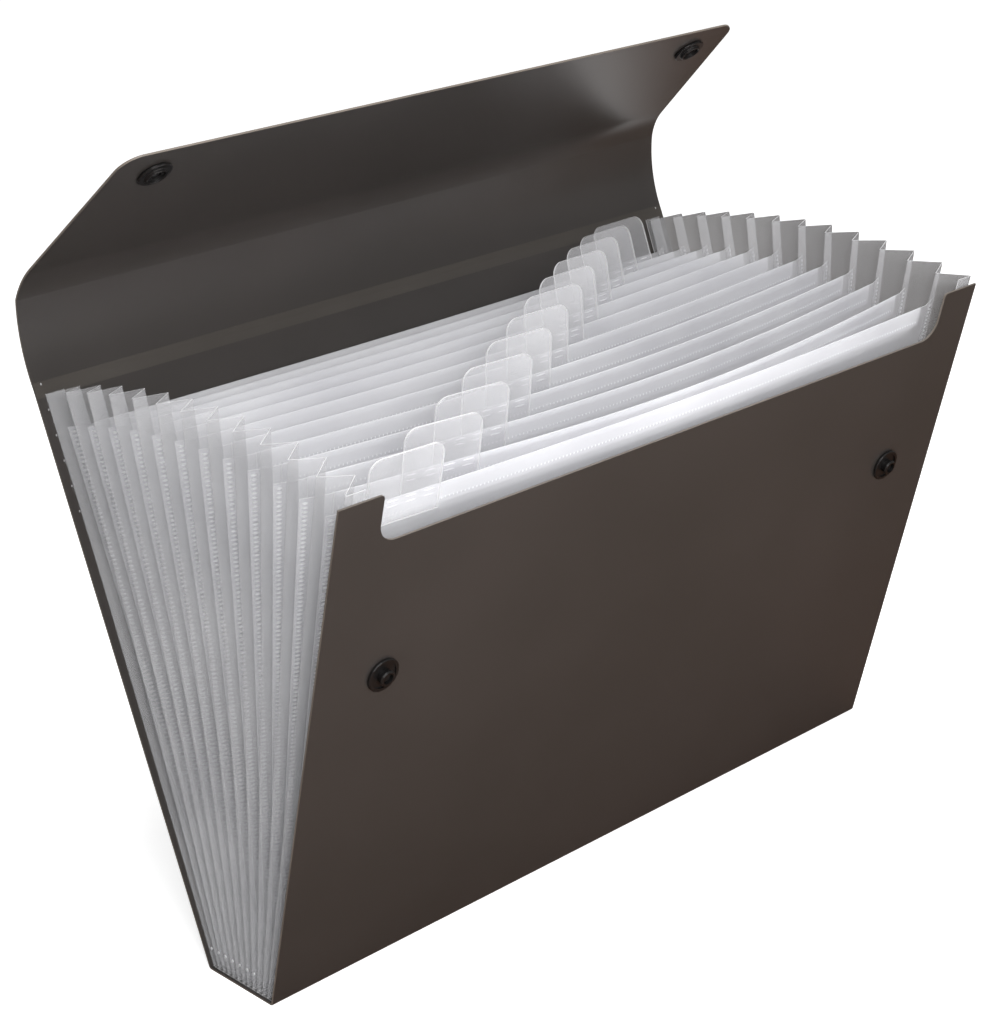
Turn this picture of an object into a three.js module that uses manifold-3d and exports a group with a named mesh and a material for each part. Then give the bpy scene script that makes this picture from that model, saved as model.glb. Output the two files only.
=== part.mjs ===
// An expanding document file of A4 landscape size, fanned open and standing on its spine.
// A folded plastic cover carries a closing flap with two creases. Two pleated gussets and
// twelve dividers make thirteen pockets, each divider has an index tab, and two press studs
// close the flap on the front panel.
// Millimetres, Z up. X runs along the width, the front faces -Y, and the origin is under
// the middle of the spine.

import * as THREE from 'three';
import { mergeVertices } from 'three/addons/utils/BufferGeometryUtils.js';
import Module from 'manifold-3d';

const wasm = await Module();
wasm.setup();

const degree = Math.PI / 180;

// Cover
const coverWidth = 330;
const coverThickness = 0.8;
const spineDepth = 38;
const frontHeight = 220;
const backHeight = 225.5;
const frontLean = 17 * degree;
const backLean = 19 * degree;
const earWidth = 19.4;
const cutoutDepth = 20;
const cutoutRadius = 8;
const earRadius = 1.5;

// Flap: leans are measured from upright, and a positive lean goes to the back
const creaseGap = 0.6;
const hingeStandoff = 0.15;
const flapTopLength = 34;
const flapTopStartLean = 24 * degree;
const flapTopEndLean = -8 * degree;
const flapBendLength = 15;
const flapFrontStartLean = -20 * degree;
const flapFrontLean = -50 * degree;
const flapFrontLength = 71;
const flapTipInset = 12;
const flapCornerRadius = 9;

// Gussets
const pocketCount = 13;
const filmThickness = 0.25;
const weldGap = 0.3;
const gussetHeight = 223.5;
const gussetInset = 3.5;
const pleatWidth = 13.4;
const foldWidth = 0.7;
const innerFoldShare = 0.6;
const flangeWidth = 8;

// Dividers
const dividerThickness = 0.2;
const dividerHeight = 209;
const dividerStart = 4;
const dividerEdgeToFold = 4.2;
const frontSlack = 18;
const backSlack = 3;
const frontRest = 4.5;
const hemHeight = 8;
const hemGap = 0.15;
const hemEndInset = 4;

// Index tabs
const tabWidth = 31;
const tabAbove = 18;
const tabBelow = 9;
const tabRadius = 5;
const tabInset = 20.25;
const tabThickness = 0.7;
const tabWall = 0.2;
const tabSlotMargin = 1.2;

// Press studs
const studInset = 30;
const studHeight = 142.5;
const socketToTip = 14;
const studRadius = 6.75;
const capRadius = 6.25;
const postRadius = 1.8;
const knobRadius = 3.2;
const seatGap = 0.3;
const capThickness = 1;
const flangeThickness = 1.1;
const knobHeight = 3.4;
const socketHeight = 2.2;

// Values that follow from the sizes above
const floorZ = coverThickness + weldGap;
const dividerCount = pocketCount - 1;
const outerFoldX = coverWidth / 2 - gussetInset;
const studOffset = coverWidth / 2 - studInset;
const tabPitch = (coverWidth - 2 * tabInset - tabWidth) / (dividerCount - 1);
const pleatSeat = coverThickness / 2 + weldGap + filmThickness / 2;
const dividerSeat = (filmThickness + dividerThickness) / 2 + weldGap;
const hemSeat = dividerThickness + hemGap;
const postHoleRadius = postRadius + seatGap;
const panelSeat = coverThickness / 2 + seatGap;
const lerp = THREE.MathUtils.lerp;

// Materials
const charcoalSheet = new THREE.MeshStandardMaterial({ color: 0x45403c, roughness: 0.45, metalness: 0 });
const frostedFilm = new THREE.MeshStandardMaterial({ color: 0xc4c4c4, roughness: 0.4, metalness: 0 });
const clearSleeve = new THREE.MeshStandardMaterial({ color: 0xd4d4d6, roughness: 0.2, metalness: 0 });
const blackStud = new THREE.MeshStandardMaterial({ color: 0x1c1b1b, roughness: 0.35, metalness: 0 });

// Solids and booleans

function toManifold(geometry) {
  const bare = geometry.clone();
  bare.deleteAttribute('normal');
  bare.deleteAttribute('uv');
  const merged = mergeVertices(bare, 1e-5);
  const vertProperties = new Float32Array(merged.attributes.position.array);
  const triVerts = new Uint32Array(merged.index.array);
  return new wasm.Manifold(new wasm.Mesh({ numProp: 3, vertProperties, triVerts }));
}

function fromManifold(solid) {
  const { vertProperties, triVerts } = solid.getMesh();
  const geometry = new THREE.BufferGeometry();
  geometry.setAttribute('position', new THREE.BufferAttribute(new Float32Array(vertProperties), 3));
  geometry.setIndex(new THREE.BufferAttribute(new Uint32Array(triVerts), 1));
  geometry.computeVertexNormals();
  return geometry;
}

function subtract(geometry, cutters) {
  let solid = toManifold(geometry);
  for (const cutter of cutters) solid = solid.subtract(toManifold(cutter));
  return fromManifold(solid);
}

function intersect(geometry, other) {
  return fromManifold(toManifold(geometry).intersect(toManifold(other)));
}

function unite(geometries) {
  let solid = toManifold(geometries[0]);
  for (const geometry of geometries.slice(1)) solid = solid.add(toManifold(geometry));
  return fromManifold(solid);
}

// A line of points moved sideways to its right by a distance, with mitred corners
function offsetLine(points, distance) {
  const sideOf = (from, to) => {
    const along = to.clone().sub(from).normalize();
    return new THREE.Vector2(along.y, -along.x);
  };
  return points.map((point, i) => {
    const before = i > 0 ? sideOf(points[i - 1], point) : sideOf(point, points[i + 1]);
    const after = i < points.length - 1 ? sideOf(point, points[i + 1]) : before;
    const mitre = before.clone().add(after);
    return point.clone().addScaledVector(mitre, (2 * distance) / mitre.lengthSq());
  });
}

// A sheet of even thickness bent along a line in the YZ plane, as wide as given in X
function bentSheet(line, thickness, width) {
  const right = offsetLine(line, thickness / 2);
  const left = offsetLine(line, -thickness / 2).reverse();
  const depth = { depth: width, bevelEnabled: false };
  const geometry = new THREE.ExtrudeGeometry(new THREE.Shape([...right, ...left]), depth);
  const acrossX = new THREE.Matrix4().set(0, 0, 1, -width / 2, 1, 0, 0, 0, 0, 1, 0, 0, 0, 0, 0, 1);
  return geometry.applyMatrix4(acrossX);
}

// A film through rows of points, one row for each level, thickened sideways in plan.
// Both faces share their diagonals. They lean the way that bows a twisted film off its weld,
// so they are mirrored where x is below zero.
function ruledSheet(rows, thickness) {
  const columns = rows[0].length;
  const positions = [];
  for (const row of rows) {
    const plan = row.map((point) => new THREE.Vector2(point.x, point.y));
    const right = offsetLine(plan, thickness / 2);
    const left = offsetLine(plan, -thickness / 2);
    row.forEach((point, i) => positions.push(right[i].x, right[i].y, point.z, left[i].x, left[i].y, point.z));
  }
  const vertex = (level, column, side) => (level * columns + column) * 2 + side;
  const index = [];
  const quad = (a, b, c, d) => index.push(a, b, c, a, c, d);
  for (let level = 0; level < rows.length - 1; level++) {
    for (let column = 0; column < columns - 1; column++) {
      const corners = [0, 1].map((side) => [
        vertex(level, column, side), vertex(level, column + 1, side),
        vertex(level + 1, column + 1, side), vertex(level + 1, column, side),
      ]);
      const turn = rows[0][column].x + rows[0][column + 1].x < 0 ? 0 : 1;
      const at = (side, i) => corners[side][(i + turn) % 4];
      quad(at(0, 0), at(0, 1), at(0, 2), at(0, 3));
      quad(at(1, 0), at(1, 3), at(1, 2), at(1, 1));
    }
    quad(vertex(level, 0, 0), vertex(level + 1, 0, 0), vertex(level + 1, 0, 1), vertex(level, 0, 1));
    const end = columns - 1;
    quad(vertex(level, end, 0), vertex(level, end, 1), vertex(level + 1, end, 1), vertex(level + 1, end, 0));
  }
  const top = rows.length - 1;
  for (let column = 0; column < columns - 1; column++) {
    quad(vertex(0, column, 0), vertex(0, column, 1), vertex(0, column + 1, 1), vertex(0, column + 1, 0));
    quad(vertex(top, column, 0), vertex(top, column + 1, 0), vertex(top, column + 1, 1), vertex(top, column, 1));
  }
  const geometry = new THREE.BufferGeometry();
  geometry.setAttribute('position', new THREE.Float32BufferAttribute(positions, 3));
  geometry.setIndex(index);
  geometry.computeVertexNormals();
  return geometry;
}

function mirroredInX(geometry) {
  const mirrored = geometry.clone().scale(-1, 1, 1);
  const index = mirrored.index.array;
  for (let i = 0; i < index.length; i += 3) [index[i], index[i + 1]] = [index[i + 1], index[i]];
  mirrored.computeVertexNormals();
  return mirrored;
}

// Leaning lines and panels

const upDirection = (lean) => new THREE.Vector2(Math.sin(lean), Math.cos(lean));

// The frame of a leaning panel: its x along the width, its y up the panel, its z to the front
function panelFrame(foot, lean) {
  const up = upDirection(lean);
  const xAxis = new THREE.Vector3(1, 0, 0);
  const upAxis = new THREE.Vector3(0, up.x, up.y);
  const frontAxis = new THREE.Vector3(0, -up.y, up.x);
  return new THREE.Matrix4().makeBasis(xAxis, upAxis, frontAxis).setPosition(0, foot.x, foot.y);
}

// A line that starts at a point in YZ and turns evenly from one lean to another
function curlingLine(start, startLean, endLean, length, steps) {
  const points = [start.clone()];
  for (let i = 0; i < steps; i++) {
    const lean = lerp(startLean, endLean, (i + 0.5) / steps);
    points.push(points.at(-1).clone().addScaledVector(upDirection(lean), length / steps));
  }
  return points;
}

const frontCrease = new THREE.Vector2(-spineDepth / 2, coverThickness / 2);
const backCrease = new THREE.Vector2(spineDepth / 2, coverThickness / 2);
const frontTop = frontCrease.clone().addScaledVector(upDirection(-frontLean), frontHeight);
const backTop = backCrease.clone().addScaledVector(upDirection(backLean), backHeight);

const flapTopStart = backTop.clone().addScaledVector(upDirection(backLean), creaseGap);
const flapTopLine = curlingLine(flapTopStart, flapTopStartLean, flapTopEndLean, flapTopLength, 8);
const secondCreaseLean = (flapTopEndLean + flapFrontStartLean) / 2;
const flapFrontStart = flapTopLine.at(-1).clone().addScaledVector(upDirection(secondCreaseLean), creaseGap);
const flapBendLine = curlingLine(flapFrontStart, flapFrontStartLean, flapFrontLean, flapBendLength, 5);
const flapTip = flapBendLine.at(-1).clone().addScaledVector(upDirection(flapFrontLean), flapFrontLength);

const frontFrame = panelFrame(frontCrease, -frontLean);
const flapFrame = panelFrame(flapBendLine.at(-1), flapFrontLean);

// A crease's hinge line lies just outside the sheet's outer face, in the middle of its gap
function hingePoint(creaseStart, lean) {
  const up = upDirection(lean);
  const outward = new THREE.Vector2(up.y, -up.x);
  const middle = creaseStart.clone().addScaledVector(up, creaseGap / 2);
  return middle.addScaledVector(outward, coverThickness / 2 + hingeStandoff);
}
const flapHinge = hingePoint(backTop, backLean);
const flapFrontHinge = hingePoint(flapTopLine.at(-1), secondCreaseLean);

// Cover

function cutoutCutter() {
  const half = coverWidth / 2 - earWidth;
  const floor = frontHeight - cutoutDepth;
  const above = frontHeight + coverThickness;
  const outline = new THREE.Shape();
  outline.moveTo(-half - earRadius, above);
  outline.lineTo(-half - earRadius, frontHeight);
  outline.absarc(-half - earRadius, frontHeight - earRadius, earRadius, 90 * degree, 0, true);
  outline.lineTo(-half, floor + cutoutRadius);
  outline.absarc(-half + cutoutRadius, floor + cutoutRadius, cutoutRadius, 180 * degree, 270 * degree, false);
  outline.absarc(half - cutoutRadius, floor + cutoutRadius, cutoutRadius, 270 * degree, 360 * degree, false);
  outline.lineTo(half, frontHeight - earRadius);
  outline.absarc(half + earRadius, frontHeight - earRadius, earRadius, 180 * degree, 90 * degree, true);
  outline.lineTo(half + earRadius, above);
  const cutter = new THREE.ExtrudeGeometry(outline, {
    depth: 4 * coverThickness, bevelEnabled: false, curveSegments: 6,
  });
  return cutter.translate(0, 0, -2 * coverThickness).applyMatrix4(frontFrame);
}

// A round cutter through a panel, at a place given in the panel's frame
function postHole(frame, x, height) {
  const hole = new THREE.CylinderGeometry(postHoleRadius, postHoleRadius, 4 * coverThickness, 20);
  return hole.rotateX(90 * degree).translate(x, height, 0).applyMatrix4(frame);
}

function cover() {
  const sheet = bentSheet([frontTop, frontCrease, backCrease, backTop], coverThickness, coverWidth);
  const holes = [-studOffset, studOffset].map((x) => postHole(frontFrame, x, studHeight));
  return subtract(sheet, [cutoutCutter(), ...holes]);
}

// Flap

function flapTop() {
  return bentSheet(flapTopLine, coverThickness, coverWidth);
}

const socketHeightOnFlap = flapFrontLength - socketToTip;

function flapFront() {
  const sheet = bentSheet([...flapBendLine, flapTip], coverThickness, coverWidth);
  const half = coverWidth / 2;
  const tipHalf = half - flapTipInset;
  const low = -2 * flapBendLength;
  const taper = Math.atan2(flapTipInset, flapFrontLength + flapBendLength);
  const reach = flapCornerRadius * Math.tan((90 * degree - taper) / 2);
  const centreX = tipHalf - reach;
  const centreY = flapFrontLength - flapCornerRadius;
  const outline = new THREE.Shape();
  outline.moveTo(-half, low);
  outline.lineTo(half, low);
  outline.lineTo(half, -flapBendLength);
  outline.absarc(centreX, centreY, flapCornerRadius, taper, 90 * degree, false);
  outline.absarc(-centreX, centreY, flapCornerRadius, 90 * degree, 180 * degree - taper, false);
  outline.lineTo(-half, -flapBendLength);
  const block = new THREE.ExtrudeGeometry(outline, {
    depth: 4 * flapBendLength, bevelEnabled: false, curveSegments: 8,
  });
  block.translate(0, 0, -2 * flapBendLength).applyMatrix4(flapFrame);
  const holes = [-studOffset, studOffset].map((x) => postHole(flapFrame, x, socketHeightOnFlap));
  return subtract(intersect(sheet, block), holes);
}

// Gussets: a fold's place runs from 0 at the front panel to 1 at the back panel

const foldLean = (place) => lerp(-frontLean, backLean, place);
const frontSeatY = frontCrease.x - (floorZ - frontCrease.y) * Math.tan(frontLean)
  + pleatSeat / Math.cos(frontLean) + foldWidth / 2;
const backSeatY = backCrease.x + (floorZ - backCrease.y) * Math.tan(backLean)
  - pleatSeat / Math.cos(backLean) - foldWidth / 2;
const foldY = (place, z) => lerp(frontSeatY, backSeatY, place) + (z - floorZ) * Math.tan(foldLean(place));
const outerFold = (pleat) => pleat / dividerCount;
const innerFold = (pleat) => (pleat + innerFoldShare) / dividerCount;

// A pleat's panels keep their width, so its inner fold comes out as the fan opens
function innerFoldX(z) {
  const pitch = foldY(outerFold(1), z) - foldY(outerFold(0), z);
  return outerFoldX - Math.sqrt(pleatWidth ** 2 - (pitch / 2) ** 2);
}

// The steps are closer together near the spine, where the pleats are tightest
const levelShares = [0, 0.12, 0.3, 0.55, 1];

function gusset() {
  const rows = levelShares.map((share) => {
    const row = [];
    const add = (place, x, side) => {
      const z = floorZ + share * gussetHeight * Math.cos(foldLean(place));
      row.push(new THREE.Vector3(x(z), foldY(place, z) + (side * foldWidth) / 2, z));
    };
    add(0, () => outerFoldX - flangeWidth, -1);
    for (let pleat = 0; pleat <= dividerCount; pleat++) {
      add(outerFold(pleat), () => outerFoldX, -1);
      add(outerFold(pleat), () => outerFoldX, 1);
      if (pleat < dividerCount) {
        add(innerFold(pleat), innerFoldX, -1);
        add(innerFold(pleat), innerFoldX, 1);
      }
    }
    add(1, () => outerFoldX - flangeWidth, 1);
    return row;
  });
  return ruledSheet(rows, filmThickness);
}

// Dividers: each one follows its gusset panel at the sides and hangs to the front in the middle

const dividerTopZ = (pleat) => floorZ + dividerHeight * Math.cos(foldLean(innerFold(pleat)));

function dividerSag(pleat) {
  if (pleat > 0) return lerp(frontSlack, backSlack, pleat / (dividerCount - 1));
  const z = dividerTopZ(0);
  const panelFace = frontCrease.x - (z - frontCrease.y) * Math.tan(frontLean)
    + coverThickness / 2 / Math.cos(frontLean);
  return foldY(innerFold(0), z) + foldWidth / 2 + dividerSeat - panelFace - frontRest;
}

// The divider's plan at a height: the knee at the inner fold and the edge near the outer one
function dividerSide(pleat, z) {
  const inner = new THREE.Vector2(innerFoldX(z), foldY(innerFold(pleat), z) + foldWidth / 2);
  const outer = new THREE.Vector2(outerFoldX, foldY(outerFold(pleat + 1), z) - foldWidth / 2);
  const along = outer.clone().sub(inner).normalize();
  const behind = new THREE.Vector2(-along.y, along.x);
  const knee = inner.clone().addScaledVector(behind, dividerSeat);
  const edge = outer.clone().addScaledVector(along, -dividerEdgeToFold).addScaledVector(behind, dividerSeat);
  return { knee, edge };
}

function dividerY(pleat, x, z) {
  const { knee } = dividerSide(pleat, z);
  const sag = (dividerSag(pleat) * (z - floorZ)) / (dividerTopZ(pleat) - floorZ);
  return knee.y - sag * Math.cos((x / knee.x) * 90 * degree);
}

const spanSteps = 12;

function dividerRow(pleat, s) {
  const z = floorZ + s * Math.cos(foldLean(innerFold(pleat)));
  const { knee, edge } = dividerSide(pleat, z);
  const row = [new THREE.Vector3(-edge.x, edge.y, z)];
  for (let i = 0; i <= spanSteps; i++) {
    const x = lerp(-knee.x, knee.x, i / spanSteps);
    row.push(new THREE.Vector3(x, dividerY(pleat, x, z), z));
  }
  row.push(new THREE.Vector3(edge.x, edge.y, z));
  return row;
}

function hemRow(pleat, s, forward) {
  const z = floorZ + s * Math.cos(foldLean(innerFold(pleat)));
  const end = innerFoldX(dividerTopZ(pleat)) - hemEndInset;
  const row = [];
  for (let i = 0; i <= spanSteps; i++) {
    const x = lerp(-end, end, i / spanSteps);
    row.push(new THREE.Vector3(x, dividerY(pleat, x, z) - forward, z));
  }
  return row;
}

function divider(pleat) {
  const hemStart = dividerHeight - hemHeight;
  const heights = levelShares.slice(0, -1).map((share) => lerp(dividerStart, hemStart, share));
  const sheetRows = [...heights, hemStart, dividerHeight].map((s) => dividerRow(pleat, s));
  const sheet = ruledSheet(sheetRows, dividerThickness);
  const hemRows = [hemStart, dividerHeight].map((s) => hemRow(pleat, s, hemSeat));
  const hem = ruledSheet(hemRows, dividerThickness);
  const foldRows = [dividerHeight - dividerThickness, dividerHeight].map((s) => hemRow(pleat, s, hemSeat / 2));
  const fold = ruledSheet(foldRows, hemSeat + dividerThickness / 2);
  return unite([sheet, hem, fold]);
}

// Index tabs: flat clear sleeves in front of the hem, open at the side for a label

function tabSleeve() {
  const half = tabWidth / 2;
  const outline = new THREE.Shape();
  outline.moveTo(-half, -tabBelow);
  outline.lineTo(half, -tabBelow);
  outline.absarc(half - tabRadius, tabAbove - tabRadius, tabRadius, 0, 90 * degree, false);
  outline.absarc(-half + tabRadius, tabAbove - tabRadius, tabRadius, 90 * degree, 180 * degree, false);
  const body = new THREE.ExtrudeGeometry(outline, { depth: tabThickness, bevelEnabled: false, curveSegments: 6 });
  const slotHeight = tabAbove + tabBelow - 2 * tabRadius;
  const slot = new THREE.BoxGeometry(tabWidth, slotHeight, tabThickness - 2 * tabWall);
  slot.translate(tabSlotMargin, (tabAbove - tabBelow) / 2, tabThickness / 2);
  return subtract(body, [slot]);
}

function placeTab(mesh, pleat) {
  const x = (pleat - (dividerCount - 1) / 2) * tabPitch;
  const z = dividerTopZ(pleat);
  const step = 1;
  const foot = new THREE.Vector3(x, dividerY(pleat, x, z), z);
  const along = new THREE.Vector3(2 * step, dividerY(pleat, x + step, z) - dividerY(pleat, x - step, z), 0);
  const up = new THREE.Vector3(0, dividerY(pleat, x, z) - dividerY(pleat, x, z - step), step);
  const front = along.clone().cross(up).normalize();
  along.normalize();
  const sheetUp = front.clone().cross(along);
  foot.addScaledVector(front, hemSeat + dividerThickness / 2 + seatGap);
  new THREE.Matrix4().makeBasis(along, sheetUp, front).setPosition(foot)
    .decompose(mesh.position, mesh.quaternion, mesh.scale);
}

// Press studs: turned about Y, which points away from the sheet on the side of the stud or socket

const turned = (profile) => new THREE.LatheGeometry(profile.map(([r, y]) => new THREE.Vector2(r, y)), 20);

function studBody() {
  const edge = 0.3;
  const grooveOuter = studRadius - 1.4;
  const neck = knobRadius - 0.4;
  return turned([
    [postHoleRadius, 0], [studRadius - edge, 0], [studRadius, edge], [studRadius, flangeThickness - edge],
    [studRadius - edge, flangeThickness], [grooveOuter, flangeThickness], [grooveOuter, flangeThickness / 2],
    [neck, flangeThickness / 2], [neck, knobHeight - 1.4], [knobRadius, knobHeight - 0.9],
    [knobRadius, knobHeight - 0.5], [knobRadius - 0.5, knobHeight], [postHoleRadius, knobHeight],
    [postHoleRadius, 0],
  ]);
}

function socketBody() {
  const edge = 0.3;
  const recess = knobRadius + seatGap;
  const rim = recess + 1;
  return turned([
    [postHoleRadius, 0], [studRadius - edge, 0], [studRadius, edge], [studRadius, flangeThickness - edge],
    [studRadius - edge, flangeThickness], [rim + edge, flangeThickness], [rim, flangeThickness + edge],
    [rim, socketHeight - edge], [rim - edge, socketHeight], [recess + edge, socketHeight],
    [recess, socketHeight - edge], [recess, flangeThickness], [postHoleRadius, flangeThickness],
    [postHoleRadius, 0],
  ]);
}

// A domed cap on the sheet's other face, with a post through the sheet into the stud or socket
function capWithPost(reach) {
  const edge = 0.3;
  const postEnd = 2 * panelSeat + reach;
  return turned([
    [0, -capThickness], [capRadius - 3 * edge, -capThickness], [capRadius, -capThickness + 2 * edge],
    [capRadius, 0], [postRadius, 0], [postRadius, postEnd - edge], [postRadius - edge, postEnd], [0, postEnd],
  ]);
}

// Sets a turned piece on a panel, its Y to the front, at a distance in front of the sheet's middle
function seatOnPanel(mesh, frame, x, height, forward) {
  const turn = new THREE.Matrix4().makeRotationX(90 * degree).setPosition(x, height, forward);
  frame.clone().multiply(turn).decompose(mesh.position, mesh.quaternion, mesh.scale);
}

// The file

const file = new THREE.Group();

function addMesh(name, geometry, material, parent = file) {
  const mesh = new THREE.Mesh(geometry, material);
  mesh.name = name;
  parent.add(mesh);
  return mesh;
}

addMesh('cover', cover(), charcoalSheet);
addMesh('flap_top', flapTop(), charcoalSheet);
addMesh('flap_front', flapFront(), charcoalSheet);

const rightGusset = gusset();
addMesh('right_gusset', rightGusset, frostedFilm);
addMesh('left_gusset', mirroredInX(rightGusset), frostedFilm);

const sleeve = tabSleeve();
for (let pleat = 0; pleat < dividerCount; pleat++) {
  const number = String(pleat + 1).padStart(2, '0');
  addMesh(`divider_${number}`, divider(pleat), frostedFilm);
  placeTab(addMesh(`index_tab_${number}`, sleeve, clearSleeve), pleat);
}

const stud = studBody();
const socket = socketBody();
const studCap = capWithPost(knobHeight - capThickness);
const socketCap = capWithPost(flangeThickness - seatGap);
for (const [side, x] of [['left', -studOffset], ['right', studOffset]]) {
  seatOnPanel(addMesh(`stud_${side}`, stud, blackStud), frontFrame, x, studHeight, panelSeat);
  seatOnPanel(addMesh(`stud_cap_${side}`, studCap, blackStud), frontFrame, x, studHeight, -panelSeat);
  seatOnPanel(addMesh(`socket_${side}`, socket, blackStud), flapFrame, x, socketHeightOnFlap, panelSeat);
  seatOnPanel(addMesh(`socket_cap_${side}`, socketCap, blackStud), flapFrame, x, socketHeightOnFlap, -panelSeat);
}

// The two hinge lines run along X through these points
file.userData.hinges = { flapHinge, flapFrontHinge };

export default file;
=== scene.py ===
import math
import bmesh
import bpy
from mathutils import Matrix, Vector


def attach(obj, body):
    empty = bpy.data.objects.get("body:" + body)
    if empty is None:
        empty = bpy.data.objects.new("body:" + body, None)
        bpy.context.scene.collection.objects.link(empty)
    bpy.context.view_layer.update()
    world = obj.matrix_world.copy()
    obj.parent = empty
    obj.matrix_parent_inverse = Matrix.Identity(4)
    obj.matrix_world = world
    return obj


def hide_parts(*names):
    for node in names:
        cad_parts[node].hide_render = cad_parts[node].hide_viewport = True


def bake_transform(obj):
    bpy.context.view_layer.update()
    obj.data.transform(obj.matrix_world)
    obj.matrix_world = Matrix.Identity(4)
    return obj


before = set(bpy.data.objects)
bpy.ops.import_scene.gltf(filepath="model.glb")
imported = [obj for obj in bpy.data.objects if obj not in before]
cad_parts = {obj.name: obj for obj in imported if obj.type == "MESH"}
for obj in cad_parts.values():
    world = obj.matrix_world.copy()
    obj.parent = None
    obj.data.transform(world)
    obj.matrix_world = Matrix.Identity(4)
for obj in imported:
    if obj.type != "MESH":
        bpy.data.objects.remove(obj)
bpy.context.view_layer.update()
print("frame loaded")

mm = 0.001

# Sizes in millimetres and degrees. They follow the frame's own solids.
coverSizes = {
    "width": 330, "thickness": 0.8, "spine": 38, "frontHeight": 220, "backHeight": 225.5,
    "frontLean": 17, "backLean": 19, "ear": 19.4, "cutDepth": 20, "cutRadius": 8,
    "earRadius": 1.5, "creaseRadius": 1.1,
}
flapSizes = {
    "creaseGap": 0.6, "topLength": 34, "topStartLean": 24, "topEndLean": -8, "bendLength": 15,
    "frontStartLean": -20, "frontLean": -50, "frontLength": 71, "tipInset": 12, "cornerRadius": 9,
    "seam": 3, "seamReach": 0.8, "bendReach": 4, "cutPitch": 0.5, "scoreThinning": 0.9,
}
filmSizes = {
    "film": 0.25, "weldGap": 0.3, "gussetHeight": 223.5, "inset": 3.5, "pleatWidth": 13.4,
    "foldWidth": 0.7, "foldRound": 0.25, "innerShare": 0.6, "flange": 8, "pockets": 13,
    "baseReach": 2.3, "baseReachTop": 150,
}
dividerSizes = {
    "thickness": 0.2, "height": 209, "start": 4, "edgeToFold": 4.2, "frontSlack": 18, "backSlack": 3,
    "frontRest": 4.5, "hemHeight": 8, "hemGap": 0.15, "hemEndInset": 4,
}
tabSizes = {
    "width": 31, "above": 18, "below": 9, "radius": 5, "pitch": 23.5, "thickness": 0.7, "seatGap": 0.3,
}


# Colours and materials

def colour(hexText, alpha=1.0):
    def linear(value):
        return value / 12.92 if value <= 0.04045 else ((value + 0.055) / 1.055) ** 2.4
    parts = [int(hexText[i:i + 2], 16) / 255 for i in (1, 3, 5)]
    return (*[linear(part) for part in parts], alpha)


def addNode(tree, kind, settings=None, inputs=None, links=None):
    node = tree.nodes.new(kind)
    for key, value in (settings or {}).items():
        setattr(node, key, value)
    for key, value in (inputs or {}).items():
        node.inputs[key].default_value = value
    for key, source in (links or {}).items():
        tree.links.new(source, node.inputs[key])
    return node


def newMaterial(name):
    material = bpy.data.materials.new(name)
    material.use_nodes = True
    tree = material.node_tree
    tree.nodes.clear()
    output = addNode(tree, "ShaderNodeOutputMaterial")
    shader = addNode(tree, "ShaderNodeBsdfPrincipled")
    tree.links.new(shader.outputs["BSDF"], output.inputs["Surface"])
    return material, tree, shader


# Polypropylene sheet, extruded and embossed with a fine sand grain: a soft satin sheen,
# charcoal with a warm cast. The real grain is about 0.2 mm, drawn at 0.5 mm so that it shows.
def satinSheet(name, values):
    material, tree, shader = newMaterial(name)
    place = addNode(tree, "ShaderNodeTexCoord").outputs["Object"]
    cloud = addNode(tree, "ShaderNodeTexNoise", None,
                    {"Scale": 1 / (values["cloud"] * mm), "Detail": 3.0, "Roughness": 0.55},
                    {"Vector": place})
    ramp = addNode(tree, "ShaderNodeValToRGB", None, None, {"Fac": cloud.outputs["Fac"]})
    ramp.color_ramp.elements[0].position = 0.3
    ramp.color_ramp.elements[0].color = colour(values["dark"])
    ramp.color_ramp.elements[1].position = 0.7
    ramp.color_ramp.elements[1].color = colour(values["light"])
    tree.links.new(ramp.outputs["Color"], shader.inputs["Base Color"])
    grain = addNode(tree, "ShaderNodeTexNoise", None,
                    {"Scale": 1 / (values["grain"] * mm), "Detail": 2.0}, {"Vector": place})
    bump = addNode(tree, "ShaderNodeBump", None,
                   {"Strength": values["bump"], "Distance": 0.05 * mm}, {"Height": grain.outputs["Fac"]})
    tree.links.new(bump.outputs["Normal"], shader.inputs["Normal"])
    sheen = addNode(tree, "ShaderNodeMapRange", None,
                    {"To Min": values["smooth"], "To Max": values["rough"]}, {"Value": cloud.outputs["Fac"]})
    tree.links.new(sheen.outputs["Result"], shader.inputs["Roughness"])
    shader.inputs["IOR"].default_value = 1.49
    shader.inputs["Specular IOR Level"].default_value = values["gloss"]
    return material


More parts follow.
